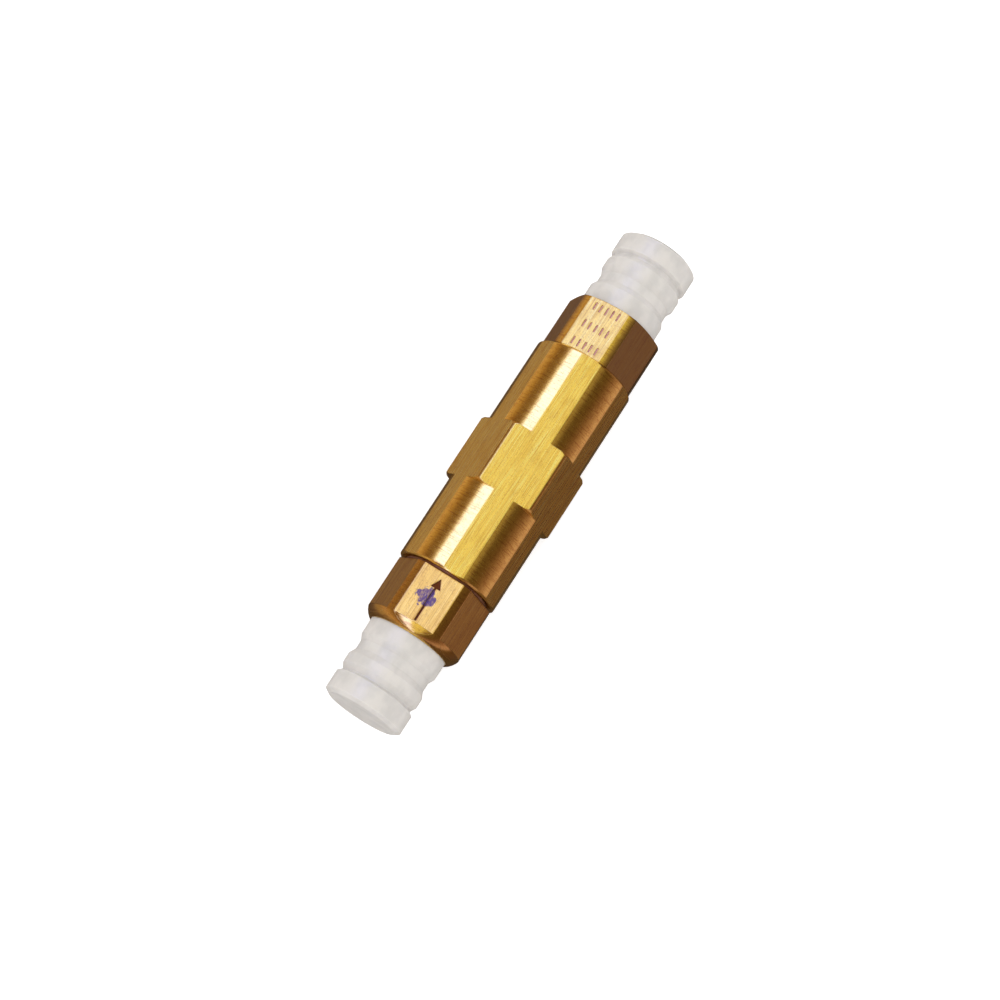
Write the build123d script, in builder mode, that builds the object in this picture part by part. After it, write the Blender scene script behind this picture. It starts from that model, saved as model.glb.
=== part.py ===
"""In-line check valve for 8 mm gas tube, with a cutting-ring union and a transit plug at each end.

Frame: the origin is at the middle of the body's collar on the flow axis, +X is the flow direction
and +Z points up through one of the body's hexagon flats. Sizes are in millimetres.
"""
import os
from math import atan2, ceil, cos, radians, sin, sqrt, tan

from build123d import *

# ---------------------------------------------------------------- driving dimensions
# Tube port
tube_diameter = 8.0
tube_play = 0.1                  # between the tube and what it slides through
seal_section = 1.9               # wire of the O-ring that grips the tube
seal_bite = 0.2                  # how far that O-ring is smaller than the tube
support_washer_thickness = 0.9
support_washer_sink = 0.5        # washer lies this far below the thread floor, with the seal
pretension_ring_length = 3.1
pretension_ring_wall = 1.55
port_ledge = 0.55                # flat floor that the pretension ring stands on

# Union screw
thread_pitch = 1.5
thread_play = 0.04               # each flank stands back by this
thread_crest_play = 0.05
thread_root_sink = 0.15          # the ridge's foot runs this far into its wall
shank_wall = 0.78                # metal left under the thread root
shank_length = 9.3
undercut_length = 2.1
shank_lead = 0.95                # plain tip ahead of the shank's thread
undercut_sink = 0.2              # below the thread's root
flats_length = {"inlet": 10.2, "outlet": 10.9}
head_overhang = 0.5              # the hexagon's flats stand this far outside the thread
head_corner_cut = 0.46           # corners of the hexagon turned off
mouth_wall = 0.85                # flat of the hexagon to the mouth's bore
mouth_depth = 6.35
lip_wall = 0.2
head_chamfer_angle = 16.0
round_collar_length = 1.8        # turned part of the inlet screw, ahead of its flats
round_collar_swell = 0.2
throat_play = 1.35               # throat bore is this much larger than the tube, in radius
inlet_screw_gap = 0.5            # head to body, this screw is not run fully home
outlet_screw_gap = 0.05
inlet_screw_turn = 7.0           # degrees, hexagon against the body's, about the flow axis
outlet_screw_turn = 16.8
thread_seal_section = 1.4

# Body
flat_wall = 1.5                  # thread to the hexagon's flat
barrel_proud = 0.2               # barrels are turned this much proud of the flats
collar_proud = 1.3
collar_length = 12.4
collar_offset = 0.35             # collar sits this much nearer to the inlet end
body_chamfer = 0.35
thread_depth = 10.9
counterbore_depth = 2.2          # room for the seal under the screw's head
seal_counterbore_wall = 0.35     # counterbore to the thread
thread_relief = 1.5

# Check valve
passage_diameter = 5.2
chamber_diameter = 8.8
inlet_passage_length = 3.6
poppet_land = 1.0                # straight part of the poppet behind the seat's large end
spring_space = 7.8
guide_thickness = 2.0
circlip_thickness = 0.6
circlip_step = 1.4               # wall between the circlip's groove and the tube seal
poppet_travel = 2.0
poppet_diameter = 7.0
stem_diameter = 2.4
spring_wire = 0.5
spring_diameter = 5.2            # on the middle of the wire
spring_turns = 6.5
poppet_seal_section = 1.1
seat_clearance = 0.3

# Retaining ring
retaining_ring_length = 4.9
retaining_ring_slots = 6
slot_width = 0.8
slot_share = 0.7                 # of the ring's length
ring_bore_relief = 0.35          # between the two edges that bite
ring_edge_length = 0.35

# Transit plug
plug_play = 0.05
inlet_plug_gap = 0.0             # mouth's floor to the plug's ring
outlet_plug_gap = 0.5            # this plug is not pushed fully home
plug_barrel_length = 7.0
plug_nose_chamfer = 0.5
plug_wall = 1.2                  # round the hollow that runs up from the nose
plug_end_wall = 2.0
plug_ring_length = 3.1           # ring that fills the mouth, outside the screw
plug_waist_sink = 0.6            # waist and notch below that ring
plug_waist_slope = 1.15
plug_waist_length = 3.0          # with its slope
plug_ridge_slope = 1.2
plug_ridge_fall = 1.0
plug_ridge_length = 4.0          # with both of its slopes
plug_notch_length = 0.35
plug_flange_slope = 0.5
plug_flange_proud = 0.1
plug_flange_length = 4.65        # with its slope and its chamfer
plug_chamfer_length = 0.6
plug_chamfer_depth = 0.95
plug_round = 0.12

# Marks
mark_depth = 0.12
arrow_place = 5.5                # middle of the arrow, from the head's inner face
arrow_length = 8.6
arrow_head_length = 1.9
arrow_head_width = 1.9
arrow_line = 0.4
pip_place = 5.3                  # middle row, from the head's inner face
pip_row_pitch = 3.8
pip_rows_count = 3
pips_in_row = 5
pip_pitch = 1.2
pip_length = 1.6
pip_width = 0.28
running_play = 0.05
cut_over = 0.01                  # cuts run past each other by this
seal_gap = 0.03                  # round rubber stands this far from what it is drawn against

# ---------------------------------------------------------------- worked-out dimensions
tube_radius = tube_diameter / 2
pocket_radius = tube_radius - seal_bite + seal_section + running_play
shank_bore_radius = pocket_radius + port_ledge
thread_radius = shank_bore_radius + shank_wall + 0.6134 * thread_pitch
male_root_radius = thread_radius - 0.6134 * thread_pitch
female_crest_radius = thread_radius - 0.5413 * thread_pitch
pitch_radius = thread_radius - 0.3248 * thread_pitch
throat_radius = tube_radius + throat_play
seal_counterbore_radius = thread_radius + seal_counterbore_wall

body_across_flats = 2 * (thread_radius + flat_wall)
barrel_radius = body_across_flats / 2 + barrel_proud
collar_radius = body_across_flats / 2 + collar_proud
head_across_flats = 2 * (thread_radius + head_overhang)
head_corner_radius = head_across_flats / sqrt(3) - head_corner_cut
mouth_radius = head_across_flats / 2 - mouth_wall
lip_radius = mouth_radius + lip_wall

seal_pocket_depth = seal_section + support_washer_thickness + support_washer_sink
port_depth = thread_depth + seal_pocket_depth
passage_radius = passage_diameter / 2
chamber_radius = chamber_diameter / 2
seat_length = chamber_radius - passage_radius
groove_width = circlip_thickness + 2 * running_play
valve_length = (inlet_passage_length + seat_length + poppet_land + spring_space
                + guide_thickness + groove_width + circlip_step)
body_half = port_depth + valve_length / 2

# Places along the flow axis at each end, counted outward
sides = ("inlet", "outlet")
outward = {"inlet": -1, "outlet": 1}
screw_gap = {"inlet": inlet_screw_gap, "outlet": outlet_screw_gap}
screw_turn = {"inlet": inlet_screw_turn, "outlet": outlet_screw_turn}
plug_gap = {"inlet": inlet_plug_gap, "outlet": outlet_plug_gap}
body_end = {side: body_half + outward[side] * collar_offset for side in sides}
port_floor = {side: body_end[side] - thread_depth for side in sides}
pocket_floor = {side: body_end[side] - port_depth for side in sides}
thread_start = {side: port_floor[side] + thread_relief + thread_pitch / 2 for side in sides}
head_face = {side: body_end[side] + screw_gap[side] for side in sides}
head_end = {"inlet": head_face["inlet"] + flats_length["inlet"] + round_collar_length,
            "outlet": head_face["outlet"] + flats_length["outlet"]}

# Places along the flow axis inside the check valve
seat_start = -pocket_floor["inlet"] + inlet_passage_length
seat_end = seat_start + seat_length
poppet_back = seat_end + poppet_land
guide_front = poppet_back + spring_space
guide_back = guide_front + guide_thickness
boss_radius = spring_diameter / 2 - spring_wire / 2 - 0.35
boss_length = 1.0
sleeve_front = poppet_back + boss_length + poppet_travel + running_play



def port_plane(side, distance=0.0):
    """Plane through the axis: local x runs outward from the given distance, local y is +Z."""
    way = outward[side]
    return Plane(origin=(way * distance, 0, 0), x_dir=(way, 0, 0), z_dir=(0, -way, 0))


def cross_plane(side, distance):
    """Plane across the axis at the given distance, facing outward, with local y along +Z."""
    way = outward[side]
    return Plane(origin=(way * distance, 0, 0), x_dir=(0, way, 0), z_dir=(way, 0, 0))


def head_plane(side):
    """Cross plane at the head's inner face, its local y square to the head's marked flat."""
    way = outward[side]
    turn = radians(screw_turn[side])
    return Plane(origin=(way * head_face[side], 0, 0),
                 x_dir=(0, way * cos(turn), -way * sin(turn)), z_dir=(way, 0, 0))


def flat_plane(side, distance):
    """Plane of the marked flat of a union screw, local x along +X, at a place along the axis."""
    turn = radians(screw_turn[side])
    normal = (0, sin(turn), cos(turn))
    height = head_across_flats / 2
    origin = (outward[side] * distance, normal[1] * height, normal[2] * height)
    return Plane(origin=origin, x_dir=(1, 0, 0), z_dir=normal)


def plain_ring(side, start, length, inner, outer):
    """Ring of a given length that begins at a distance along the axis."""
    with BuildPart() as ring:
        with BuildSketch(port_plane(side)):
            with Locations((start + length / 2, (inner + outer) / 2)):
                Rectangle(length, outer - inner)
        revolve(axis=Axis.X)
    return ring.part


def thread_ridge(side, start, end, foot, foot_half, crest, crest_half):
    """Right-hand helical ridge between two places, from its foot radius to its crest radius."""
    way = outward[side]
    middle = (foot + crest) / 2
    with BuildPart() as ridge:
        with BuildLine() as path:
            Helix(thread_pitch, end - start, middle, center=(way * start, 0, 0),
                  direction=(way, 0, 0))
        first = path.line @ 0
        radial = Vector(0, first.Y, first.Z).normalized()
        with BuildSketch(Plane(origin=first, x_dir=radial, z_dir=path.line % 0)):
            with BuildLine():
                Polyline(
                    (foot - middle, -foot_half),
                    (foot - middle, foot_half),
                    (crest - middle, crest_half),
                    (crest - middle, -crest_half),
                    close=True,
                )
            make_face()
        sweep(path=path.line, is_frenet=True)
    return ridge.part


def flank(radius):
    """Half width of the nominal male ridge at a radius."""
    return thread_pitch / 4 + (pitch_radius - radius) * tan(radians(30))


def female_ridge(side):
    """Thread of a port, which stands in from the bore between relief and counterbore."""
    foot = thread_radius + thread_crest_play + thread_root_sink
    half = thread_pitch / 2 - thread_play
    return thread_ridge(side, thread_start[side],
                        body_end[side] - counterbore_depth - thread_pitch / 2,
                        foot, half - flank(foot),
                        female_crest_radius, half - flank(female_crest_radius))


def male_ridge(side):
    """Thread of a union screw, half a pitch from the port's so that the two are in mesh."""
    tip = head_face[side] - shank_length
    foot = male_root_radius - thread_root_sink
    crest = thread_radius - thread_crest_play
    turns = ceil((tip + shank_lead - thread_start[side]) / thread_pitch - 0.5) + 0.5
    return thread_ridge(side, thread_start[side] + turns * thread_pitch,
                        head_face[side] - undercut_length - thread_pitch / 2,
                        foot, flank(foot) - thread_play, crest, flank(crest) - thread_play)


# ---------------------------------------------------------------- body
def make_valve_body():
    """Hexagon bar with turned barrels, a through passage, the seat and two threaded ports."""
    threads = [female_ridge(side) for side in sides]
    with BuildPart() as valve_body:
        with BuildSketch(Plane.YZ.offset(-body_end["inlet"])):
            RegularPolygon(body_across_flats / 2, 6, major_radius=False)
        extrude(amount=body_end["inlet"] + body_end["outlet"])
        with BuildSketch(Plane.XZ):
            with BuildLine():
                Polyline(
                    (-body_end["inlet"], 0),
                    (-body_end["inlet"], barrel_radius - body_chamfer),
                    (-body_end["inlet"] + body_chamfer, barrel_radius),
                    (-collar_length / 2, barrel_radius),
                    (-collar_length / 2, collar_radius - body_chamfer),
                    (-collar_length / 2 + body_chamfer, collar_radius),
                    (collar_length / 2 - body_chamfer, collar_radius),
                    (collar_length / 2, collar_radius - body_chamfer),
                    (collar_length / 2, barrel_radius),
                    (body_end["outlet"] - body_chamfer, barrel_radius),
                    (body_end["outlet"], barrel_radius - body_chamfer),
                    (body_end["outlet"], 0),
                    close=True,
                )
            make_face()
        revolve(axis=Axis.X, mode=Mode.INTERSECT)
        with BuildSketch(Plane.XZ):
            with BuildLine():
                Polyline(
                    (-pocket_floor["inlet"] - cut_over, 0),
                    (-pocket_floor["inlet"] - cut_over, passage_radius),
                    (seat_start, passage_radius),
                    (seat_end, chamber_radius),
                    (guide_back, chamber_radius),
                    (guide_back, chamber_radius + 0.5),
                    (guide_back + groove_width, chamber_radius + 0.5),
                    (guide_back + groove_width, chamber_radius),
                    (pocket_floor["outlet"] + cut_over, chamber_radius),
                    (pocket_floor["outlet"] + cut_over, 0),
                    close=True,
                )
            make_face()
        revolve(axis=Axis.X, mode=Mode.SUBTRACT)
        for side in sides:
            counterbore_floor = body_end[side] - counterbore_depth
            with BuildSketch(port_plane(side)):
                with BuildLine():
                    Polyline(
                        (pocket_floor[side], 0),
                        (pocket_floor[side], pocket_radius),
                        (port_floor[side], pocket_radius),
                        (port_floor[side], thread_radius + thread_crest_play),
                        (counterbore_floor, thread_radius + thread_crest_play),
                        (counterbore_floor, seal_counterbore_radius),
                        (body_end[side], seal_counterbore_radius),
                        (body_end[side], 0),
                        close=True,
                    )
                make_face()
            revolve(axis=Axis.X, mode=Mode.SUBTRACT)
        for thread in threads:
            add(thread)
    return valve_body.part


# ---------------------------------------------------------------- check valve
seal_reach = seat_start - passage_radius         # seat cone is radius - x = -seal_reach
poppet_seal_radius = passage_radius + 0.15
poppet_seal_place = (poppet_seal_radius + seal_reach
                     + sqrt(2) * (poppet_seal_section / 2 + seal_gap))


def make_poppet():
    """Turned poppet: a cone that stands off the seat, a spring boss and a guide stem."""
    setback = seat_clearance * sqrt(2)
    nose = seat_start - 0.2
    radius = poppet_diameter / 2
    with BuildPart() as poppet:
        with BuildSketch(Plane.XZ):
            with BuildLine():
                Polyline(
                    (nose, 0),
                    (nose, nose - seal_reach - setback),
                    (radius + seal_reach + setback, radius),
                    (poppet_back, radius),
                    (poppet_back, boss_radius),
                    (poppet_back + boss_length, boss_radius),
                    (poppet_back + boss_length, stem_diameter / 2),
                    (guide_back - poppet_travel + 0.6, stem_diameter / 2),
                    (guide_back - poppet_travel + 0.8, stem_diameter / 2 - 0.2),
                    (guide_back - poppet_travel + 0.8, 0),
                    close=True,
                )
            make_face()
        revolve(axis=Axis.X)
        with BuildSketch(Plane.XZ):
            with Locations((poppet_seal_place, poppet_seal_radius)):
                Circle(poppet_seal_section / 2 + 0.02)
        revolve(axis=Axis.X, mode=Mode.SUBTRACT)
    return poppet.part


def make_poppet_seal():
    """O-ring held in the poppet's cone, which meets the seat."""
    with BuildPart() as poppet_seal:
        with BuildSketch(Plane.XZ):
            with Locations((poppet_seal_place, poppet_seal_radius)):
                Circle(poppet_seal_section / 2)
        revolve(axis=Axis.X)
    return poppet_seal.part


def make_valve_spring():
    """Compression spring between the poppet and the guide, at its closed length."""
    start = poppet_back + spring_wire / 2 + seal_gap
    length = spring_space - spring_wire - 2 * seal_gap
    with BuildPart() as valve_spring:
        with BuildLine() as path:
            Helix(length / spring_turns, length, spring_diameter / 2, center=(start, 0, 0),
                  direction=(1, 0, 0))
        with BuildSketch(Plane(origin=path.line @ 0, z_dir=path.line % 0)):
            Circle(spring_wire / 2)
        sweep(path=path.line, is_frenet=True)
    return valve_spring.part


def make_spring_guide():
    """Disc with flow holes and a long sleeve that the poppet's stem slides in."""
    hole_radius = 0.7
    hole_circle = (boss_radius + chamber_radius) / 2 + 0.1
    with BuildPart() as spring_guide:
        with BuildSketch(Plane.XZ):
            with BuildLine():
                Polyline(
                    (sleeve_front, stem_diameter / 2 + 0.1),
                    (sleeve_front, boss_radius),
                    (guide_front, boss_radius),
                    (guide_front, chamber_radius - running_play),
                    (guide_back, chamber_radius - running_play),
                    (guide_back, stem_diameter / 2 + 0.1),
                    close=True,
                )
            make_face()
        revolve(axis=Axis.X)
        with BuildSketch(Plane.YZ.offset(guide_back)):
            with PolarLocations(hole_circle, 6):
                Circle(hole_radius)
        extrude(amount=-guide_thickness, mode=Mode.SUBTRACT)
    return spring_guide.part


def make_guide_circlip():
    """Internal circlip with two eyes, which keeps the guide in and stops the tube."""
    outer = chamber_radius + 0.5 - running_play
    inner = chamber_radius - 0.6
    eye_circle = inner - 0.15
    with BuildPart() as guide_circlip:
        with BuildSketch(Plane.YZ.offset(guide_back + running_play)):
            Circle(outer)
            Circle(inner, mode=Mode.SUBTRACT)
            with Locations((0, -outer)):
                Rectangle(2.2, 2 * (outer - inner) + 2.0, mode=Mode.SUBTRACT)
            with PolarLocations(eye_circle, 2, start_angle=-90 - 28, angular_range=112,
                                rotate=False):
                Circle(0.8)
            with PolarLocations(eye_circle, 2, start_angle=-90 - 28, angular_range=112,
                                rotate=False):
                Circle(0.35, mode=Mode.SUBTRACT)
        extrude(amount=circlip_thickness)
    return guide_circlip.part


# ---------------------------------------------------------------- tube port pieces
def make_port_seal(side):
    """O-ring that seals on the tube, at the bottom of the port."""
    centre = tube_radius - seal_bite + seal_section / 2
    with BuildPart() as port_seal:
        with BuildSketch(port_plane(side)):
            with Locations((pocket_floor[side] + seal_section / 2 + seal_gap, centre)):
                Circle(seal_section / 2)
        revolve(axis=Axis.X)
    return port_seal.part


def make_support_washer(side):
    """Washer between the tube seal and the pretension ring."""
    start = pocket_floor[side] + seal_section + 2 * seal_gap
    return plain_ring(side, start, support_washer_thickness, tube_radius + tube_play,
                      pocket_radius - running_play)


def make_pretension_ring(side):
    """Elastic sleeve that holds the retaining ring up against the screw's cone."""
    outer = shank_bore_radius - 2 * running_play
    return plain_ring(side, port_floor[side] + seal_gap, pretension_ring_length,
                      outer - pretension_ring_wall, outer)


def retaining_start(side):
    """Where the retaining ring begins: it stays against its screw's cone."""
    return port_floor[side] + pretension_ring_length + 2 * seal_gap + screw_gap[side]


def cone_start(side):
    """Where the screw's inner cone begins."""
    taper = shank_bore_radius - throat_radius
    return retaining_start(side) + retaining_ring_length + 2 * running_play - taper


def make_retaining_ring(side):
    """Slotted ring that bites on the tube when the screw's cone closes it."""
    start = retaining_start(side)
    end = start + retaining_ring_length
    outer = shank_bore_radius - 2 * running_play
    nose = outer - (end - cone_start(side) - 2 * running_play)
    bore = tube_radius + ring_bore_relief
    with BuildPart() as retaining_ring:
        with BuildSketch(port_plane(side)):
            with BuildLine():
                Polyline(
                    (start, tube_radius + tube_play),
                    (start, outer),
                    (end - (outer - nose), outer),
                    (end, nose),
                    (end, tube_radius + tube_play),
                    (end - ring_edge_length, bore),
                    (start + ring_edge_length, bore),
                    close=True,
                )
            make_face()
        revolve(axis=Axis.X)
        with BuildSketch(cross_plane(side, end)):
            with PolarLocations(outer, retaining_ring_slots):
                Rectangle(outer, slot_width)
        extrude(amount=-retaining_ring_length * slot_share, mode=Mode.SUBTRACT)
    return retaining_ring.part


# ---------------------------------------------------------------- union screw
def make_shank(side):
    """Threaded shank of a union screw, solid, running a little way into the head."""
    thread = male_ridge(side)
    tip = head_face[side] - shank_length
    under = male_root_radius - undercut_sink
    with BuildPart() as shank:
        with BuildSketch(port_plane(side)):
            with BuildLine():
                Polyline(
                    (tip, 0),
                    (tip, male_root_radius - 0.3),
                    (tip + 0.3, male_root_radius),
                    (head_face[side] - undercut_length, male_root_radius),
                    (head_face[side] - undercut_length, under),
                    (head_face[side] + 1, under),
                    (head_face[side] + 1, 0),
                    close=True,
                )
            make_face()
        revolve(axis=Axis.X)
        add(thread)
    return shank.part


def make_head(side):
    """Hexagon head of a union screw: chamfered at the outlet, with a round collar at the inlet."""
    flats_end = head_face[side] + flats_length[side]
    rise = (head_corner_radius - lip_radius) * tan(radians(head_chamfer_angle))
    with BuildPart() as head:
        with BuildSketch(head_plane(side)):
            RegularPolygon(head_across_flats / 2, 6, major_radius=False)
        extrude(amount=flats_length[side])
        with BuildSketch(port_plane(side)):
            with BuildLine():
                Polyline(
                    (head_face[side], 0),
                    (head_face[side], head_corner_radius),
                    (flats_end - rise, head_corner_radius),
                    (flats_end, lip_radius if side == "outlet" else head_corner_radius),
                    (flats_end, 0),
                    close=True,
                )
            make_face()
        revolve(axis=Axis.X, mode=Mode.INTERSECT)
        if side == "inlet":
            add(round_collar())
    return head.part


def round_collar():
    """Turned end of the inlet screw, which swells from the lip to the head's corners."""
    start, end = head_face["inlet"] + flats_length["inlet"], head_end["inlet"]
    lean = atan2(head_corner_radius - lip_radius, end - start)
    middle = ((start + end) / 2 + round_collar_swell * sin(lean),
              (head_corner_radius + lip_radius) / 2 + round_collar_swell * cos(lean))
    with BuildPart() as collar:
        with BuildSketch(port_plane("inlet")):
            with BuildLine():
                ThreePointArc((start, head_corner_radius), middle, (end, lip_radius))
                Polyline((end, lip_radius), (end, 0), (start, 0), (start, head_corner_radius))
            make_face()
        revolve(axis=Axis.X)
    return collar.part


def make_union_screw(side):
    """Hollow hexagon screw with a threaded shank, a cone inside and a wide mouth."""
    tip = head_face[side] - shank_length
    end = head_end[side]
    cone = cone_start(side)
    taper = shank_bore_radius - throat_radius
    shank = make_shank(side)
    head = make_head(side)
    marks = flow_arrow() if side == "inlet" else pip_rows()
    with BuildPart() as union_screw:
        add(head)
        add(shank)
        with BuildSketch(port_plane(side)):
            with BuildLine():
                Polyline(
                    (tip - 1, 0),
                    (tip - 1, shank_bore_radius),
                    (cone, shank_bore_radius),
                    (cone + taper, throat_radius),
                    (end - mouth_depth, throat_radius),
                    (end - mouth_depth, mouth_radius),
                    (end + 1, mouth_radius),
                    (end + 1, 0),
                    close=True,
                )
            make_face()
        revolve(axis=Axis.X, mode=Mode.SUBTRACT)
        add(marks, mode=Mode.SUBTRACT)
    return union_screw.part


def flow_arrow():
    """Cutter for the arrow on the inlet screw, which points into the valve."""
    middle = head_face["inlet"] + arrow_place
    tip = arrow_length / 2
    barb = tip - arrow_head_length
    with BuildPart() as arrow:
        with BuildSketch(flat_plane("inlet", middle)):
            with BuildLine():
                Polyline(
                    (-tip, arrow_line / 2),
                    (-tip, -arrow_line / 2),
                    (barb, -arrow_line / 2),
                    (barb, -arrow_head_width / 2),
                    (tip, 0),
                    (barb, arrow_head_width / 2),
                    (barb, arrow_line / 2),
                    close=True,
                )
            make_face()
        extrude(amount=mark_depth, both=True)
    return arrow.part


def pip_rows():
    """Cutter for the rows of short pips stamped on the outlet screw."""
    middle = head_face["outlet"] + pip_place
    with BuildPart() as pips:
        with BuildSketch(flat_plane("outlet", middle)):
            with GridLocations(pip_row_pitch, pip_pitch, pip_rows_count, pips_in_row):
                SlotOverall(pip_length, pip_width)
        extrude(amount=mark_depth, both=True)
    return pips.part


def make_thread_seal(side):
    """O-ring under the union screw's head."""
    radius = thread_seal_section / 2
    under = male_root_radius - undercut_sink
    with BuildPart() as thread_seal:
        with BuildSketch(port_plane(side)):
            with Locations((head_face[side] - radius - seal_gap, under + running_play + radius)):
                Circle(radius)
        revolve(axis=Axis.X)
    return thread_seal.part


# ---------------------------------------------------------------- transit plug
def make_transit_plug(side):
    """Moulded plug: a hollow barrel in the throat, a ring in the mouth and a grooved grip."""
    face = head_end[side] + plug_gap[side]
    floor = face - mouth_depth + running_play
    nose = floor - plug_barrel_length
    ring_radius = mouth_radius - plug_play
    waist = ring_radius - plug_waist_sink
    flange = ring_radius + plug_flange_proud
    barrel = throat_radius - 3 * plug_play
    ring_end = face + plug_ring_length
    waist_end = ring_end + plug_waist_length
    ridge_end = waist_end + plug_ridge_length
    notch_end = ridge_end + plug_notch_length
    end = notch_end + plug_flange_length
    with BuildPart() as transit_plug:
        with BuildSketch(port_plane(side)) as outline:
            with BuildLine():
                Polyline(
                    (nose, 0),
                    (nose, barrel - plug_nose_chamfer),
                    (nose + plug_nose_chamfer, barrel),
                    (floor, barrel),
                    (floor, ring_radius),
                    (ring_end, ring_radius),
                    (ring_end + plug_waist_slope, waist),
                    (waist_end, waist),
                    (waist_end + plug_ridge_slope, ring_radius),
                    (ridge_end - plug_ridge_fall, ring_radius),
                    (ridge_end, waist),
                    (notch_end, waist),
                    (notch_end + plug_flange_slope, flange),
                    (end - plug_chamfer_length, flange),
                    (end, flange - plug_chamfer_depth),
                    (end, 0),
                    close=True,
                )
            make_face()
            corners = outline.vertices().filter_by(lambda v: v.Y > barrel + plug_round)
            fillet(corners, radius=plug_round)
        revolve(axis=Axis.X)
        with BuildSketch(port_plane(side)):
            with BuildLine():
                Polyline(
                    (nose - 1, 0),
                    (nose - 1, barrel - plug_wall),
                    (end - plug_end_wall, barrel - plug_wall),
                    (end - plug_end_wall, 0),
                    close=True,
                )
            make_face()
        revolve(axis=Axis.X, mode=Mode.SUBTRACT)
    return transit_plug.part


def write_piece(part, label):
    """Label a finished piece and write it as STEP."""
    part.label = label
    export_step(part, "parts/" + label + ".step")


def main():
    """Make and write every piece of the valve."""
    os.makedirs("parts", exist_ok=True)
    write_piece(make_valve_body(), "valve_body")
    write_piece(make_poppet(), "poppet")
    write_piece(make_poppet_seal(), "poppet_seal")
    write_piece(make_valve_spring(), "valve_spring")
    write_piece(make_spring_guide(), "spring_guide")
    write_piece(make_guide_circlip(), "guide_circlip")
    for side in sides:
        write_piece(make_port_seal(side), side + "_port_seal")
        write_piece(make_support_washer(side), side + "_support_washer")
        write_piece(make_pretension_ring(side), side + "_pretension_ring")
        write_piece(make_retaining_ring(side), side + "_retaining_ring")
        write_piece(make_union_screw(side), side + "_union_screw")
        write_piece(make_thread_seal(side), side + "_thread_seal")
        write_piece(make_transit_plug(side), side + "_transit_plug")


main()
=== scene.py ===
"""Looks of an in-line check valve: turned and drawn brass, rubber seals and milky plugs.

The frame gives every place. Sizes here are in metres and angles in degrees.
"""
import logging
import math
from dataclasses import dataclass
from enum import Enum

import bmesh
import bpy
from mathutils import Matrix, Vector


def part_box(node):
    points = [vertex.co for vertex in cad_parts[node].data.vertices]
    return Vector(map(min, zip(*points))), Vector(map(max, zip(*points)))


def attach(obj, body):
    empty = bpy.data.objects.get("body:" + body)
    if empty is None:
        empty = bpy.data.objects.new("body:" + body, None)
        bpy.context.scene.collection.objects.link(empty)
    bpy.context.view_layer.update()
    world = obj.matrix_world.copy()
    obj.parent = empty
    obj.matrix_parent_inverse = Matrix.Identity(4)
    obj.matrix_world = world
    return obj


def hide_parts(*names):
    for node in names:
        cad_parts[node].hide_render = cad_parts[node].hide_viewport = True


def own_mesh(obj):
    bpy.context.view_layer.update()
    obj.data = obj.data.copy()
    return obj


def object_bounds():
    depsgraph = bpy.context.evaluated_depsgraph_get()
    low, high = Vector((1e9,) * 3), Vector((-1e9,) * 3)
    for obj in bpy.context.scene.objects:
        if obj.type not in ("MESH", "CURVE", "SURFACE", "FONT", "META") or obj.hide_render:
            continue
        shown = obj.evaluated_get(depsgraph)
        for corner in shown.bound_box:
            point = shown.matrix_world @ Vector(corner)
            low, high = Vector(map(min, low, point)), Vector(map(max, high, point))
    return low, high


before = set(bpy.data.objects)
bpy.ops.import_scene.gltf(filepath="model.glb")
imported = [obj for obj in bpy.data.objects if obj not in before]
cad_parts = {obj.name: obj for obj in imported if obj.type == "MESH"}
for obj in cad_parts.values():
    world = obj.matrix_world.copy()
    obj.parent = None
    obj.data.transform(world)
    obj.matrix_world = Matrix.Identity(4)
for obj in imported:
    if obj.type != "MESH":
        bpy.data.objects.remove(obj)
cad_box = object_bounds()

LOG = logging.getLogger("valve")
MM = 0.001
Colour = tuple[float, float, float]
Size = tuple[float, float, float]
Place = tuple[float, float, float]
Span = tuple[float, float]
Socket = bpy.types.NodeSocket
MADE: dict[str, bpy.types.Material] = {}


class Side(Enum):
    """The two ends of the valve, with the way each one points along the flow axis."""

    INLET = -1
    OUTLET = 1

    def node(self, piece: str) -> str:
        """Name of this end's CAD node.

        Args:
            piece: the plain name of the piece, such as union_screw.

        Returns:
            The node's name in the frame.
        """
        return f"{self.name.lower()}_{piece}"


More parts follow.
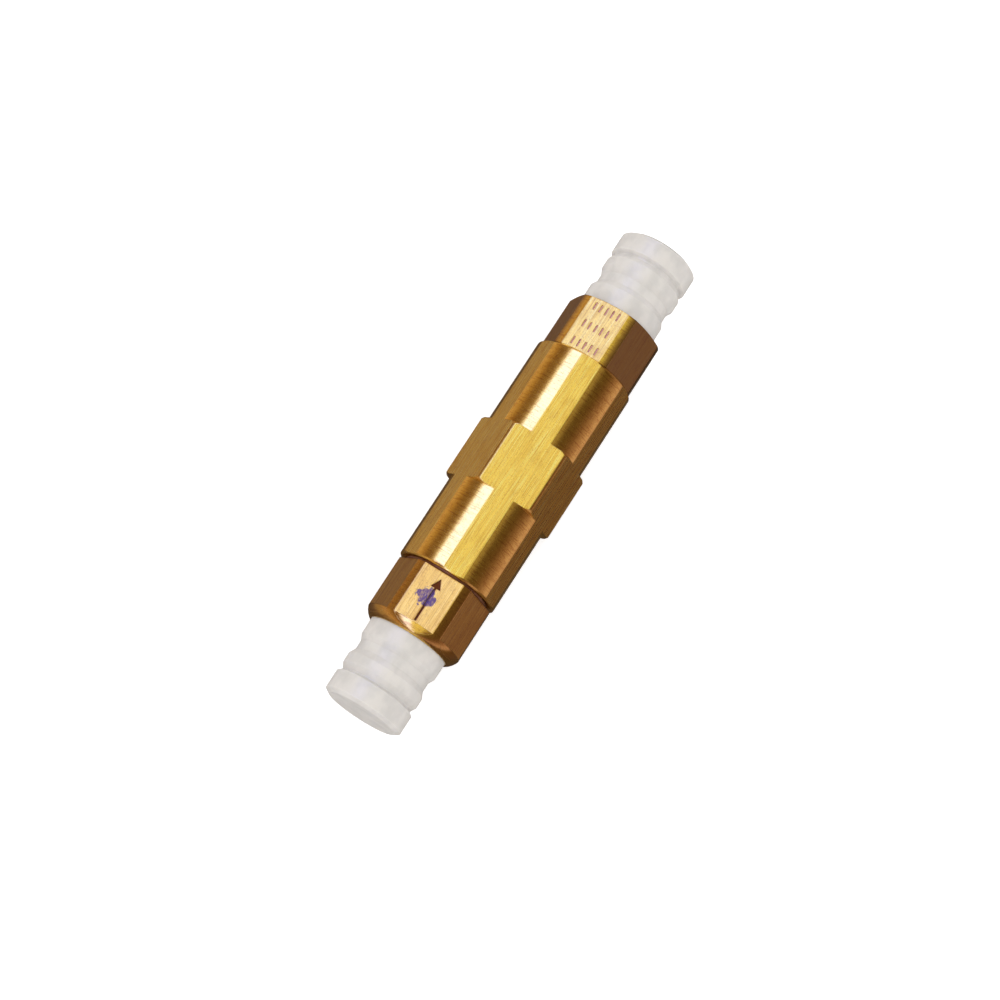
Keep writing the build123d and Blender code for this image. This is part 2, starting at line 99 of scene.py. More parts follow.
# ---------------------------------------------------------------- node trees
class Bench:
    """Adds nodes to one tree and joins them, so that a finish reads as a few lines."""

    def __init__(self, tree: bpy.types.NodeTree) -> None:
        """Starts from an empty tree.

        Args:
            tree: the tree of a material or of the world.
        """
        self.tree = tree
        tree.nodes.clear()

    def add(self, kind: str, **settings: object) -> bpy.types.Node:
        """Adds a node.

        Args:
            kind: Blender's name of the node's type.
            settings: properties of the node to set.

        Returns:
            The new node.
        """
        node = self.tree.nodes.new(kind)
        for name, value in settings.items():
            setattr(node, name, value)
        return node

    def feed(self, socket: Socket, value: object) -> None:
        """Links a socket to another, or sets its own value.

        Args:
            socket: the input to feed.
            value: an output socket, a number or a tuple.
        """
        if isinstance(value, bpy.types.NodeSocket):
            self.tree.links.new(value, socket)
        elif value is not None:
            socket.default_value = value

    def math(self, operation: str, *values: object) -> Socket:
        """Adds a Math node.

        Args:
            operation: the node's operation.
            values: its inputs in order.

        Returns:
            The result's socket.
        """
        node = self.add("ShaderNodeMath", operation=operation)
        for socket, value in zip(node.inputs, values):
            self.feed(socket, value)
        return node.outputs[0]

    def vector(self, operation: str, *values: object) -> Socket:
        """Adds a Vector Math node.

        Args:
            operation: the node's operation.
            values: its inputs in order.

        Returns:
            The result's socket, a number for a dot product or a length.
        """
        node = self.add("ShaderNodeVectorMath", operation=operation)
        for socket, value in zip(node.inputs, values):
            self.feed(socket, value)
        return node.outputs["Value" if operation in ("DOT_PRODUCT", "LENGTH") else "Vector"]

    def mix(self, share: object, first: object, second: object) -> Socket:
        """Mixes two colours.

        Args:
            share: how much of the second there is.
            first: the colour at share 0.
            second: the colour at share 1.

        Returns:
            The mixed colour's socket.
        """
        node = self.add("ShaderNodeMix", data_type="RGBA")
        self.feed(node.inputs[0], share)
        for socket, value in zip(node.inputs[6:8], (first, second)):
            self.feed(socket, value if isinstance(value, bpy.types.NodeSocket) else (*value, 1.0))
        return node.outputs[2]

    def ramp(self, value: Socket, low: float, high: float) -> Socket:
        """Maps a number smoothly from 0 at low to 1 at high.

        Args:
            value: the number.
            low: where the result is 0.
            high: where the result is 1.

        Returns:
            The mapped number's socket.
        """
        node = self.add("ShaderNodeMapRange", interpolation_type="SMOOTHSTEP")
        self.feed(node.inputs["Value"], value)
        node.inputs["From Min"].default_value = low
        node.inputs["From Max"].default_value = high
        return node.outputs["Result"]

    def noise(self, place: Socket, stretch: Size, detail: float = 2.0) -> Socket:
        """Adds a noise that repeats at a length of its own along each axis.

        Args:
            place: object coordinates.
            stretch: the length of one blotch along X, Y and Z, in metres.
            detail: the noise's octaves.

        Returns:
            The noise, from 0 to 1 around one half.
        """
        scaled = self.vector("DIVIDE", place, stretch)
        node = self.add("ShaderNodeTexNoise")
        self.feed(node.inputs["Vector"], scaled)
        node.inputs["Scale"].default_value = 1.0
        node.inputs["Detail"].default_value = detail
        return node.outputs["Fac"]

    def place(self) -> Socket:
        """Object coordinates, which are the valve's own frame at rest."""
        return self.add("ShaderNodeTexCoord").outputs["Object"]


@dataclass(frozen=True)
class Finish:
    """A finish that dresses objects with one procedural material."""

    name: str

    def material(self) -> bpy.types.Material:
        """Makes the material, or finds it if it was made before.

        Returns:
            The finish's material.
        """
        found = MADE.get(self.name)
        if found is not None:
            return found
        made = bpy.data.materials.new(self.name)
        MADE[self.name] = made
        made.use_nodes = True
        bench = Bench(made.node_tree)
        shader = bench.add("ShaderNodeBsdfPrincipled")
        out = bench.add("ShaderNodeOutputMaterial")
        bench.feed(out.inputs["Surface"], shader.outputs["BSDF"])
        self.wire(bench, shader)
        return made

    def wire(self, bench: Bench, shader: bpy.types.Node) -> None:
        """Joins the finish's own nodes to the shader.

        Args:
            bench: the material's tree.
            shader: its Principled shader.
        """
        raise NotImplementedError

    def dress(self, piece: bpy.types.Object) -> None:
        """Gives a piece this finish alone.

        Args:
            piece: a CAD node or a piece made here.
        """
        piece.data.materials.clear()
        piece.data.materials.append(self.material())
        for face in piece.data.polygons:
            face.material_index = 0


@dataclass(frozen=True)
class ToolMark:
    """One size of tool mark, as the length of a blotch along X, Y and Z in millimetres."""

    drawn: Size
    turned: Size


HAIRLINES = ToolMark(drawn=(4.5, 0.07, 0.07), turned=(0.10, 30.0, 30.0))
SCRATCHES = ToolMark(drawn=(9.0, 0.13, 0.13), turned=(0.22, 2.5, 2.5))
WORN_BANDS = ToolMark(drawn=(9.0, 0.70, 0.70), turned=(1.1, 3.2, 3.2))


@dataclass(frozen=True)
class Brass(Finish):
    """Brass bar: drawn flats with lengthwise streaks, and turned rounds with fine rings."""

    colour: Colour = (0.98, 0.71, 0.155)
    # Colour of the painted highlights: glints along the scratches, mostly on the flats.
    bright: Colour = (1.0, 0.88, 0.30)
    tarnish: Colour = (0.58, 0.30, 0.06)
    across_flats: float = 0.0
    turn: float = 0.0
    drawn_roughness: float = 0.24
    turned_roughness: float = 0.10
    edge: float = 0.30 * MM
    flat_play: float = 0.03 * MM
    worn_span: Span = (0.46, 0.72)
    worn_share: float = 0.26
    scratch_span: Span = (0.54, 0.64)
    scratch_share: float = 0.55
    # Span and shares of the painted glints, with the flats taking most of them.
    glint_span: Span = (0.46, 0.36)
    glint_share: float = 0.10
    flat_glint_share: float = 0.85
    cloud_size: Size = (2.6 * MM, 1.7 * MM, 1.7 * MM)
    cloud_span: Span = (0.45, 0.80)
    cloud_share: float = 0.30
    spot_size: Size = (0.30 * MM, 0.17 * MM, 0.17 * MM)
    spot_span: Span = (0.54, 0.68)
    spot_share: float = 0.55
    pit_size: Size = (0.30 * MM, 0.30 * MM, 0.30 * MM)
    hair_height: float = 0.45
    scratch_height: float = 0.55
    pit_height: float = 0.75
    hair_roughness: float = 0.08
    bump_strength: float = 0.6
    bump_height: float = 0.012 * MM

    def normals(self) -> list[Vector]:
        """Outward directions of three neighbouring flats of the hexagon."""
        angles = [math.radians(self.turn + 60 * index) for index in range(3)]
        return [Vector((0, math.sin(angle), math.cos(angle))) for angle in angles]

    def on_flat(self, bench: Bench, place: Socket) -> Socket:
        """Mask of the hexagon's flats.

        Args:
            bench: the material's tree.
            place: object coordinates.

        Returns:
            1 on a flat and 0 elsewhere.
        """
        if self.across_flats <= 0:
            return bench.math("MULTIPLY", 0.0, 0.0)
        reach = None
        for normal in self.normals():
            height = bench.math("ABSOLUTE", bench.vector("DOT_PRODUCT", place, tuple(normal)))
            reach = height if reach is None else bench.math("MAXIMUM", reach, height)
        return bench.math("COMPARE", reach, self.across_flats / 2, self.flat_play)

    def lay(self, bench: Bench, place: Socket, flat: Socket) -> tuple[Socket, Socket, Socket]:
        """Marks of the tool: long streaks on the flats, and rings where the bar is turned.

        Args:
            bench: the material's tree.
            place: object coordinates.
            flat: mask of the flats.

        Returns:
            Hairlines, scratches and broad bands, each from 0 to 1.
        """
        found = []
        for mark in (HAIRLINES, SCRATCHES, WORN_BANDS):
            along = bench.noise(place, tuple(MM * length for length in mark.drawn), 3.0)
            around = bench.noise(place, tuple(MM * length for length in mark.turned), 3.0)
            gap = bench.math("SUBTRACT", along, around)
            found.append(bench.math("ADD", around, bench.math("MULTIPLY", gap, flat)))
        return found[0], found[1], found[2]

    def stain(self, bench: Bench, place: Socket) -> Socket:
        """Finger marks and spots of tarnish over the whole surface.

        Args:
            bench: the material's tree.
            place: object coordinates.

        Returns:
            How tarnished the metal is, from 0 to 1.
        """
        cloud = bench.ramp(bench.noise(place, self.cloud_size, 4.0), *self.cloud_span)
        spots = bench.ramp(bench.noise(place, self.spot_size, 3.0), *self.spot_span)
        return bench.math("ADD", bench.math("MULTIPLY", cloud, self.cloud_share),
                          bench.math("MULTIPLY", spots, self.spot_share))

    def wire(self, bench: Bench, shader: bpy.types.Node) -> None:
        """Joins the tool's marks, stains, painted glints and softened edges to the shader.

        Args:
            bench: the material's tree.
            shader: its Principled shader.
        """
        place = bench.place()
        flat = self.on_flat(bench, place)
        hair, scratch, band = self.lay(bench, place, flat)
        worn = bench.math("MULTIPLY", bench.ramp(band, *self.worn_span), self.worn_share)
        dark = bench.math("MULTIPLY", bench.ramp(scratch, *self.scratch_span),
                          self.scratch_share)
        # Painted highlight: glints of the bright colour along the scratches, mostly on the flats.
        glint_weight = bench.math("ADD", bench.math("MULTIPLY", flat, self.flat_glint_share),
                           self.glint_share)
        painted_glint = bench.math("MULTIPLY", bench.ramp(scratch, *self.glint_span), glint_weight)
        colour = bench.mix(bench.math("MAXIMUM", worn, dark), self.colour, self.tarnish)
        colour = bench.mix(painted_glint, colour, self.bright)
        colour = bench.mix(self.stain(bench, place), colour, self.tarnish)
        colour = self.marks(bench, place, colour)
        more_rough = bench.math("MULTIPLY", flat, self.drawn_roughness - self.turned_roughness)
        rough = bench.math("ADD", more_rough, self.turned_roughness)
        rough = bench.math("ADD", rough, bench.math("MULTIPLY", hair, self.hair_roughness))
        bench.feed(shader.inputs["Base Color"], colour)
        bench.feed(shader.inputs["Roughness"], rough)
        bench.feed(shader.inputs["Normal"], self.relief(bench, place, hair, scratch))
        shader.inputs["Metallic"].default_value = 1.0

    def relief(self, bench: Bench, place: Socket, hair: Socket, scratch: Socket) -> Socket:
        """Softened edges, with the tool's marks and small pits in relief on them.

        Args:
            bench: the material's tree.
            place: object coordinates.
            hair: the hairlines.
            scratch: the scratches.

        Returns:
            The normal's socket.
        """
        pits = bench.noise(place, self.pit_size, 3.0)
        height = bench.math("ADD", bench.math("MULTIPLY", hair, self.hair_height),
                            bench.math("MULTIPLY", scratch, self.scratch_height))
        height = bench.math("ADD", height, bench.math("MULTIPLY", pits, self.pit_height))
        bevel = bench.add("ShaderNodeBevel", samples=4)
        bevel.inputs["Radius"].default_value = self.edge
        bump = bench.add("ShaderNodeBump")
        bump.inputs["Strength"].default_value = self.bump_strength
        bump.inputs["Distance"].default_value = self.bump_height
        bench.feed(bump.inputs["Height"], height)
        bench.feed(bump.inputs["Normal"], bevel.outputs["Normal"])
        return bump.outputs["Normal"]

    def marks(self, bench: Bench, place: Socket, colour: Socket) -> Socket:
        """Marks that only some pieces bear; plain bar has none.

        Args:
            bench: the material's tree.
            place: object coordinates.
            colour: the metal's colour.

        Returns:
            The colour with the marks on it.
        """
        return colour


@dataclass(frozen=True)
class StampedBrass(Brass):
    """Brass of a union screw: painted shade on the faces away from the stamped flat and in that
    flat's marks, and maybe a blot of ink on it.
    """

    # Painted shade in the hollows of the stamped marks.
    mark_shade: Colour = (0.12, 0.035, 0.012)
    # Painted shade on the faces turned away from the stamped flat: its share and its colour.
    side_shade_share: float = 0.0
    side_shade: Colour = (0.27, 0.15, 0.07)
    ink: Colour = (0.10, 0.062, 0.15)
    ink_place: float | None = None
    ink_across: float = 0.4 * MM
    ink_radius: float = 1.85 * MM
    ink_ragged: float = 3.6 * MM
    ink_edge: float = 0.14 * MM
    ink_depth: float = 0.3 * MM
    ink_wave: Size = (1.1 * MM, 1.1 * MM, 1.1 * MM)
    ink_grain: Size = (0.5 * MM, 0.3 * MM, 0.3 * MM)
    ink_thin_span: Span = (0.30, 0.62)
    ink_least: float = 0.58
    ink_more: float = 0.38
    # Depths below the stamped flat over which the painted side shade comes in.
    side_shade_start: float = 0.05 * MM
    side_shade_end: float = 0.9 * MM
    mark_floor: float = 0.2 * MM
    mark_rim: float = 0.02 * MM
    mark_facing: float = 0.98

    def marks(self, bench: Bench, place: Socket, colour: Socket) -> Socket:
        """Painted shade on the faces away from the stamped flat and in its marks, and ink over
        them.

        Args:
            bench: the material's tree.
            place: object coordinates.
            colour: the metal's colour.

        Returns:
            The colour with the marks on it.
        """
        normal = self.normals()[0]
        face = self.across_flats / 2
        height = bench.vector("DOT_PRODUCT", place, tuple(normal))
        # Painted shade: the faces away from the stamped flat are darkened towards the shade
        # colour.
        away = bench.ramp(height, face - self.side_shade_start, face - self.side_shade_end)
        colour = bench.mix(bench.math("MULTIPLY", away, self.side_shade_share), colour, self.side_shade)
        # Painted shade: the floors of the stamped marks, facing out like the flat, are darkened.
        outward = bench.add("ShaderNodeNewGeometry").outputs["Normal"]
        facing = bench.vector("DOT_PRODUCT", outward, tuple(normal))
        sunk = bench.math("MULTIPLY", bench.math("LESS_THAN", height, face - self.mark_rim),
                          bench.math("GREATER_THAN", height, face - self.mark_floor))
        sunk = bench.math("MULTIPLY", sunk, bench.math("GREATER_THAN", facing, self.mark_facing))
        colour = bench.mix(sunk, colour, self.mark_shade)
        if self.ink_place is None:
            return colour
        return self.blot(bench, place, colour, height)

    def blot(self, bench: Bench, place: Socket, colour: Socket, height: Socket) -> Socket:
        """A dab of marking ink on the stamped flat.

        Args:
            bench: the material's tree.
            place: object coordinates.
            colour: the metal's colour.
            height: how far a point is out along the stamped flat's normal.

        Returns:
            The colour with the ink on it.
        """
        normal = self.normals()[0]
        along = bench.math("SUBTRACT", bench.vector("DOT_PRODUCT", place, (1.0, 0.0, 0.0)),
                           self.ink_place)
        side = bench.math("SUBTRACT", bench.vector("DOT_PRODUCT", place,
                                                   (0.0, normal.z, -normal.y)), self.ink_across)
        spread = bench.math("SQRT", bench.math("ADD", bench.math("MULTIPLY", along, along),
                                               bench.math("MULTIPLY", side, side)))
        wave = bench.noise(place, self.ink_wave, 5.0)
        ragged = bench.math("MULTIPLY", bench.math("SUBTRACT", wave, 0.5), self.ink_ragged)
        edge = bench.ramp(bench.math("ADD", spread, ragged), self.ink_radius + self.ink_edge,
                          self.ink_radius - self.ink_edge)
        thin = bench.ramp(bench.noise(place, self.ink_grain, 4.0), *self.ink_thin_span)
        cover = bench.math("ADD", bench.math("MULTIPLY", thin, self.ink_more), self.ink_least)
        top = bench.math("GREATER_THAN", height, self.across_flats / 2 - self.ink_depth)
        share = bench.math("MULTIPLY", bench.math("MULTIPLY", edge, top), cover)
        return bench.mix(share, colour, self.ink)


@dataclass(frozen=True)
class Rubber(Finish):
    """Moulded rubber with a faint bloom."""

    colour: Colour = (0.018, 0.018, 0.020)
    bloom: Colour = (0.07, 0.07, 0.075)
    roughness: float = 0.5
    bloom_roughness: float = 0.15
    cloud_size: Size = (0.9 * MM, 0.9 * MM, 0.9 * MM)
    grain_size: Size = (0.06 * MM, 0.06 * MM, 0.06 * MM)
    grain_height: float = 0.008 * MM

    def wire(self, bench: Bench, shader: bpy.types.Node) -> None:
        """Joins the bloom and the moulded grain to the shader.

        Args:
            bench: the material's tree.
            shader: its Principled shader.
        """
        place = bench.place()
        cloud = bench.ramp(bench.noise(place, self.cloud_size, 3.0), 0.45, 0.8)
        grain = bench.noise(place, self.grain_size, 2.0)
        bench.feed(shader.inputs["Base Color"], bench.mix(cloud, self.colour, self.bloom))
        bench.feed(shader.inputs["Roughness"],
                   bench.math("ADD", bench.math("MULTIPLY", cloud, self.bloom_roughness),
                              self.roughness))
        bump = bench.add("ShaderNodeBump")
        bump.inputs["Strength"].default_value = 0.4
        bump.inputs["Distance"].default_value = self.grain_height
        bench.feed(bump.inputs["Height"], grain)
        bench.feed(shader.inputs["Normal"], bump.outputs["Normal"])


@dataclass(frozen=True)
class SpringSteel(Finish):
    """Drawn steel wire, bright with faint lengthwise scratches."""

    colour: Colour = (0.56, 0.56, 0.57)
    shade: Colour = (0.30, 0.30, 0.32)
    roughness: float = 0.24
    worn_roughness: float = 0.12
    scratch_size: Size = (0.08 * MM, 0.5 * MM, 0.5 * MM)

    def wire(self, bench: Bench, shader: bpy.types.Node) -> None:
        """Joins the wire's scratches to the shader.

        Args:
            bench: the material's tree.
            shader: its Principled shader.
        """
        place = bench.place()
        scratch = bench.noise(place, self.scratch_size, 3.0)
        worn = bench.ramp(scratch, 0.4, 0.7)
        bench.feed(shader.inputs["Base Color"], bench.mix(worn, self.colour, self.shade))
        bench.feed(shader.inputs["Roughness"],
                   bench.math("ADD", bench.math("MULTIPLY", worn, self.worn_roughness),
                              self.roughness))
        shader.inputs["Metallic"].default_value = 1.0


@dataclass(frozen=True)
class MilkyPlastic(Finish):
    """Natural polyethylene: milky, slightly waxy, with faint flow clouds."""

    colour: Colour = (0.65, 0.618, 0.580)
    shade: Colour = (0.575, 0.550, 0.520)
    roughness: float = 0.36
    gloss: float = 0.3
    inner_light: float = 0.55
    depth: float = 1.0 * MM
    wave: float = 0.035 * MM
    cloud_size: Size = (3.2 * MM, 2.4 * MM, 2.4 * MM)
    skin_size: Size = (1.1 * MM, 0.9 * MM, 0.9 * MM)
    grain_size: Size = (0.14 * MM, 0.14 * MM, 0.14 * MM)

    def wire(self, bench: Bench, shader: bpy.types.Node) -> None:
        """Joins the clouds, the light inside and the moulded surface to the shader.

        Args:
            bench: the material's tree.
            shader: its Principled shader.
        """
        place = bench.place()
        cloud = bench.ramp(bench.noise(place, self.cloud_size, 3.0), 0.35, 0.72)
        skin = bench.noise(place, self.skin_size, 3.0)
        grain = bench.noise(place, self.grain_size, 2.0)
        bench.feed(shader.inputs["Base Color"], bench.mix(cloud, self.colour, self.shade))
        bench.feed(shader.inputs["Roughness"],
                   bench.math("ADD", bench.math("MULTIPLY", skin, 0.16), self.roughness - 0.08))
        shader.inputs["Specular IOR Level"].default_value = self.gloss
        shader.inputs["Subsurface Weight"].default_value = self.inner_light
        shader.inputs["Subsurface Radius"].default_value = (1.0, 0.92, 0.88)
        shader.inputs["Subsurface Scale"].default_value = self.depth
        bump = bench.add("ShaderNodeBump")
        bump.inputs["Strength"].default_value = 0.5
        bump.inputs["Distance"].default_value = self.wave
        bench.feed(bump.inputs["Height"],
                   bench.math("ADD", skin, bench.math("MULTIPLY", grain, 0.12)))
        bench.feed(shader.inputs["Normal"], bump.outputs["Normal"])


@dataclass(frozen=True)
class StudioFloor(Finish):
    """Matt pale paint."""

    colour: Colour = (0.93, 0.93, 0.93)
    shade: Colour = (0.8, 0.8, 0.8)
    glow: float = 0.40

    def wire(self, bench: Bench, shader: bpy.types.Node) -> None:
        """Joins a faint unevenness to the shader.

        Args:
            bench: the material's tree.
            shader: its Principled shader.
        """
        cloud = bench.noise(bench.place(), (90 * MM, 90 * MM, 90 * MM), 2.0)
        bench.feed(shader.inputs["Base Color"],
                   bench.mix(bench.math("MULTIPLY", cloud, 0.02), self.colour, self.shade))
        shader.inputs["Roughness"].default_value = 0.9
        shader.inputs["Specular IOR Level"].default_value = 0.1
        shader.inputs["Emission Color"].default_value = (1, 1, 1, 1)
        shader.inputs["Emission Strength"].default_value = self.glow


# ---------------------------------------------------------------- sub-assemblies
@dataclass
class ValveBody:
    """The hexagon body and what never leaves it: guide, circlip and port pieces."""

    across_flats: float = 19.0 * MM
    fixed_rubber: tuple[str, ...] = ("port_seal", "pretension_ring")

    def dress(self) -> None:
        """Gives the body and the pieces fixed in it their finishes."""
        Brass("body_brass", across_flats=self.across_flats).dress(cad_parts["valve_body"])
        inner = Brass("inner_brass", turned_roughness=0.2)
        inner.dress(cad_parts["spring_guide"])
        SpringSteel("spring_steel").dress(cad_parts["guide_circlip"])
        for side in Side:
            inner.dress(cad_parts[side.node("support_washer")])
            Rubber("seal_rubber").dress(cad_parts[side.node("port_seal")])
            Rubber("pretension_rubber", colour=(0.05, 0.05, 0.055)).dress(
                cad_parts[side.node("pretension_ring")])
        LOG.info("valve body and its fixed pieces dressed")


@dataclass
class Poppet:
    """The closing piece of the check valve and its seal."""

    def dress(self) -> None:
        """Gives the poppet and its seal their finishes."""
        Brass("inner_brass", turned_roughness=0.2).dress(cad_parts["poppet"])
        Rubber("seal_rubber").dress(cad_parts["poppet_seal"])
        LOG.info("poppet dressed")


@dataclass
class PoppetSpring:
    """The coil spring behind the poppet; it keeps one length here, though the real one shortens as
    the poppet lifts off its seat.
    """

    travel: float = 2.0 * MM

    def build(self) -> None:
        """Copies the spring's mesh into a piece of its own and hangs it on the body; the guide
        holds the real spring at its outlet end.
        """
        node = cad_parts["valve_spring"]
        spring = bpy.data.objects.new("poppet_spring", node.data.copy())
        bpy.context.scene.collection.objects.link(spring)
        spring.matrix_world = node.matrix_world.copy()
        SpringSteel("spring_steel").dress(spring)
        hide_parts("valve_spring")
        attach(spring, "body")
        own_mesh(spring)


@dataclass
class UnionScrew:
    """A hexagon union screw with its thread seal and retaining ring."""

    side: Side
    turn: float
    # Colour of the painted shade in the stamped marks.
    mark_shade: Colour
    # Share of the painted shade on the faces away from the stamped flat.
    side_shade_share: float
    stamped_roughness: float
    colour: Colour
    # Colour of the painted glints on this screw's flats.
    bright: Colour
    across_flats: float = 17.0 * MM
    ink_from_face: float | None = None

    def dress(self) -> None:
        """Gives the screw, its seal and its ring their finishes."""
        node = self.side.node("union_screw")
        low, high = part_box(node)
        face = low.x if self.side is Side.INLET else high.x
        ink = None if self.ink_from_face is None else face - self.side.value * self.ink_from_face
        finish = StampedBrass(f"{self.side.name.lower()}_screw_brass", colour=self.colour,
                              bright=self.bright, tarnish=(0.50, 0.25, 0.07),
                              across_flats=self.across_flats, turn=self.turn, ink_place=ink,
                              mark_shade=self.mark_shade, side_shade_share=self.side_shade_share,
                              drawn_roughness=self.stamped_roughness, turned_roughness=0.12,
                              edge=0.34 * MM)
        finish.dress(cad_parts[node])
        Rubber("thread_seal_rubber", colour=(0.16, 0.055, 0.02), bloom=(0.22, 0.09, 0.04)).dress(
            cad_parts[self.side.node("thread_seal")])
        Brass("ring_brass", turned_roughness=0.24).dress(
            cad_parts[self.side.node("retaining_ring")])
        LOG.info("%s union screw dressed", self.side.name.lower())


@dataclass
class TransitPlug:
    """A moulded plug that keeps dirt out of a port until a tube goes in."""

    side: Side

    def dress(self) -> None:
        """Gives the plug its finish."""
        MilkyPlastic("milky_plastic").dress(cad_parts[self.side.node("transit_plug")])
        LOG.info("%s transit plug dressed", self.side.name.lower())


# ---------------------------------------------------------------- studio
# Bands of room light round the flow axis: degrees from straight up towards +Y, then red,
# green and blue.
ROOM_BANDS = (
    (-180, 0.08, 0.05, 0.035), (-150, 0.10, 0.07, 0.045), (-128, 0.14, 0.085, 0.08),
    (-104, 0.16, 0.095, 0.06), (-98, 0.48, 0.32, 0.43), (-90, 0.58, 0.39, 0.52),
    (-78, 0.38, 0.23, 0.27), (-66, 0.21, 0.115, 0.11), (-54, 0.13, 0.075, 0.05),
    (-40, 0.12, 0.078, 0.045), (-33, 0.24, 0.17, 0.12), (-24, 0.46, 0.38, 0.25),
    (-16, 0.85, 0.80, 0.52), (16, 0.92, 0.87, 0.58), (20, 1.3, 1.4, 2.6),
    (23, 1.5, 1.75, 5.2), (46, 1.5, 1.75, 5.2), (50, 0.9, 0.8, 1.0),
    (54, 0.36, 0.24, 0.20), (62, 0.22, 0.13, 0.08), (72, 0.24, 0.14, 0.09),
    (82, 0.42, 0.25, 0.14), (96, 0.62, 0.42, 0.36), (110, 0.42, 0.30, 0.25),
    (124, 0.36, 0.265, 0.23), (136, 0.17, 0.115, 0.12), (154, 0.12, 0.08, 0.05),
    (180, 0.08, 0.05, 0.035),
)


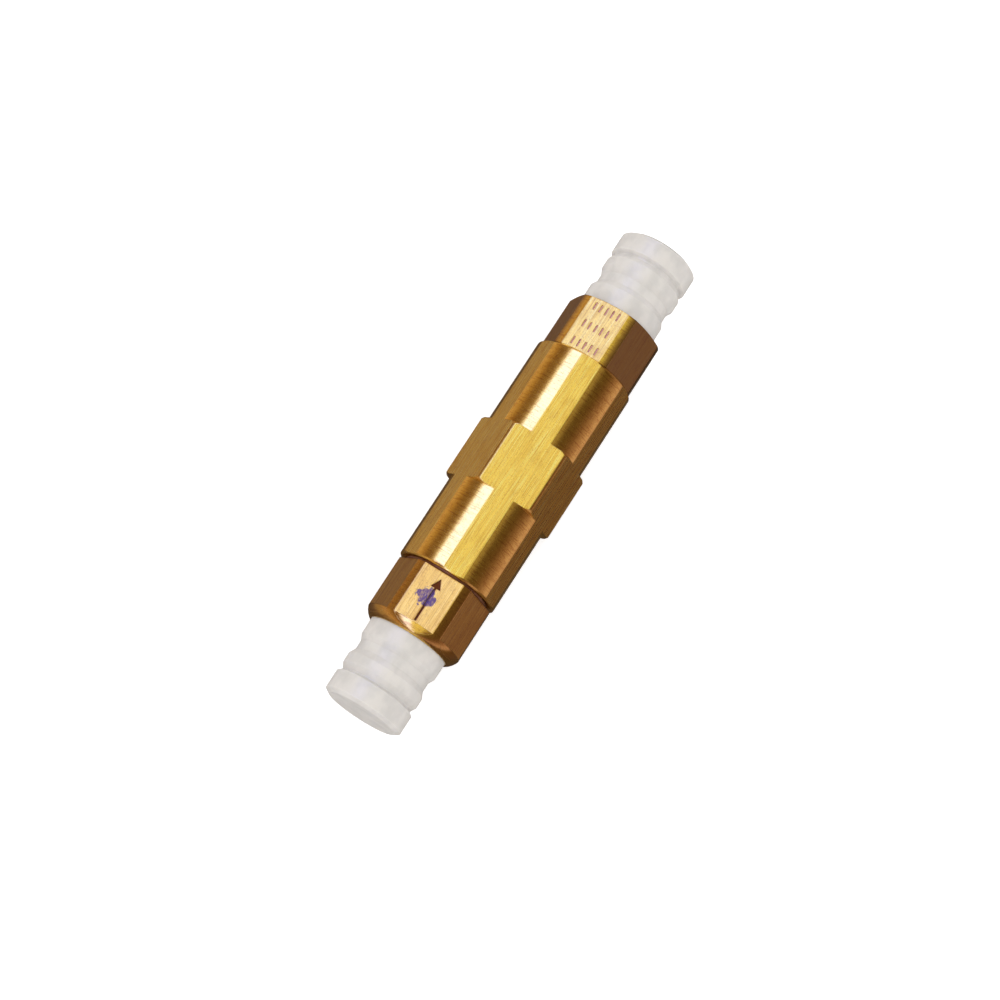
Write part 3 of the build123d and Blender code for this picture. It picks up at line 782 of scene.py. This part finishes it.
@dataclass
class Studio:
    """Pale floor, soft light and the camera."""

    distance: float = 0.479
    tilt: float = 14.5
    roll: float = 56.9
    lens: float = 96.6
    sensor: float = 36.0
    valve_right: float = 2.61 * MM
    valve_up: float = 3.95 * MM
    floor_size: float = 3.0
    light_from: Place = (-0.05, 0.0, 1.0)
    light_slope: float = 0.92
    light_level: float = 0.42
    brightest: float = 5.5
    backdrop: float = 0.94
    softbox_place: Place = (-0.12, 0.10, 0.80)
    softbox_size: float = 0.4
    softbox_power: float = 1.3

    def camera(self) -> None:
        """Looks down on the valve's top flat, from a little towards the inlet."""
        tilt, roll = math.radians(self.tilt), math.radians(self.roll)
        back = Vector((-math.sin(tilt), 0, math.cos(tilt)))
        along = Vector((math.cos(tilt), 0, math.sin(tilt)))
        across = Vector((0, 1, 0))
        right = math.cos(roll) * along - math.sin(roll) * across
        up = math.sin(roll) * along + math.cos(roll) * across
        data = bpy.data.cameras.new("camera")
        data.sensor_width = self.sensor
        data.lens = self.lens
        data.clip_start = 0.01
        camera = bpy.data.objects.new("camera", data)
        bpy.context.scene.collection.objects.link(camera)
        turn = Matrix((right, up, back)).transposed().to_4x4()
        place = self.distance * back - self.valve_right * right - self.valve_up * up
        camera.matrix_world = Matrix.Translation(place) @ turn
        bpy.context.scene.camera = camera

    def floor(self) -> None:
        """Lays the floor under the valve's lowest flat."""
        half = self.floor_size / 2
        mesh = bpy.data.meshes.new("studio_floor")
        form = bmesh.new()
        corners = [form.verts.new((x * half, y * half, cad_box[0][2]))
                   for x, y in ((-1, -1), (1, -1), (1, 1), (-1, 1))]
        form.faces.new(corners)
        form.to_mesh(mesh)
        form.free()
        floor = bpy.data.objects.new("studio_floor", mesh)
        bpy.context.scene.collection.objects.link(floor)
        StudioFloor("studio_floor_paint").dress(floor)
        floor.visible_glossy = False

    def surround(self) -> None:
        """Room light: even for the floor and the plastic, in soft bands for the metal."""
        world = bpy.data.worlds.new("studio")
        world.use_nodes = True
        world.cycles.sampling_method = "NONE"
        bpy.context.scene.world = world
        bench = Bench(world.node_tree)
        way = bench.add("ShaderNodeTexCoord").outputs["Generated"]
        path = bench.add("ShaderNodeLightPath")
        lit = bench.vector("DOT_PRODUCT", way, self.light_from)
        even = bench.math("ADD", bench.math("MULTIPLY", lit, self.light_slope), self.light_level)
        light = self.background(bench, (1, 1, 1, 1), even)
        bands = self.background(bench, self.band_colour(bench, way), self.brightest)
        light = self.blend(bench, path.outputs["Is Glossy Ray"], light, bands)
        backdrop = self.background(bench, (1, 1, 1, 1), self.backdrop)
        light = self.blend(bench, path.outputs["Is Camera Ray"], light, backdrop)
        out = bench.add("ShaderNodeOutputWorld")
        bench.feed(out.inputs["Surface"], light)

    def band_colour(self, bench: Bench, way: Socket) -> Socket:
        """Colour of the room's bands, as a share of the brightest light there is.

        Args:
            bench: the world's tree.
            way: the direction looked in.

        Returns:
            The colour's socket.
        """
        parts = bench.add("ShaderNodeSeparateXYZ")
        bench.feed(parts.inputs[0], way)
        angle = bench.math("ARCTAN2", parts.outputs["Y"], parts.outputs["Z"])
        share = bench.math("ADD", bench.math("DIVIDE", angle, 2 * math.pi), 0.5)
        ramp = bench.add("ShaderNodeValToRGB")
        bench.feed(ramp.inputs["Fac"], share)
        elements = ramp.color_ramp.elements
        while len(elements) > 1:
            elements.remove(elements[-1])
        for index, (degrees, *colour) in enumerate(ROOM_BANDS):
            stop = elements[0] if index == 0 else elements.new((degrees + 180) / 360)
            stop.position = (degrees + 180) / 360
            stop.color = (*(value / self.brightest for value in colour), 1)
        return ramp.outputs["Color"]

    @staticmethod
    def background(bench: Bench, colour: object, strength: object) -> Socket:
        """Adds a background light.

        Args:
            bench: the world's tree.
            colour: its colour, as a tuple or a socket.
            strength: its strength, as a number or a socket.

        Returns:
            The light's socket.
        """
        node = bench.add("ShaderNodeBackground")
        bench.feed(node.inputs["Color"], colour)
        bench.feed(node.inputs["Strength"], strength)
        return node.outputs[0]

    @staticmethod
    def blend(bench: Bench, share: Socket, first: Socket, second: Socket) -> Socket:
        """Blends two lights.

        Args:
            bench: the world's tree.
            share: how much of the second there is.
            first: the light at share 0.
            second: the light at share 1.

        Returns:
            The blended light's socket.
        """
        node = bench.add("ShaderNodeMixShader")
        for socket, value in zip(node.inputs, (share, first, second)):
            bench.feed(socket, value)
        return node.outputs[0]

    def softbox(self) -> None:
        """Hangs a square soft light that looks at the valve."""
        data = bpy.data.lights.new("overhead_softbox", "AREA")
        data.shape = "SQUARE"
        data.size = self.softbox_size
        data.energy = self.softbox_power
        light = bpy.data.objects.new("overhead_softbox", data)
        bpy.context.scene.collection.objects.link(light)
        light.location = self.softbox_place
        light.rotation_euler = Vector(self.softbox_place).to_track_quat("Z", "Y").to_euler()
        light.visible_glossy = False

    def build(self) -> None:
        """Sets up the camera, the floor and the light."""
        self.camera()
        self.floor()
        self.surround()
        self.softbox()
        bpy.context.scene.view_settings.view_transform = "Standard"
        LOG.info("studio ready")


def main() -> None:
    """Builds the studio, then dresses the valve piece by piece."""
    Studio().build()
    ValveBody().dress()
    Poppet().dress()
    PoppetSpring().build()
    # Each screw's settings give its painted shade in the stamped marks and on the faces away from
    # the stamped flat, and the colour of its painted glints.
    UnionScrew(Side.INLET, turn=7.0, mark_shade=(0.12, 0.035, 0.012), side_shade_share=0.22,
               stamped_roughness=0.28, colour=(0.90, 0.59, 0.13), bright=(1.0, 0.74, 0.22),
               ink_from_face=6.6 * MM).dress()
    UnionScrew(Side.OUTLET, turn=16.8, mark_shade=(0.55, 0.24, 0.11), side_shade_share=0.75,
               stamped_roughness=0.46, colour=(0.96, 0.69, 0.13), bright=(1.0, 0.84, 0.24)).dress()
    for side in Side:
        TransitPlug(side).dress()


if __name__ == "__main__":
    logging.basicConfig(level=logging.INFO)
    main()
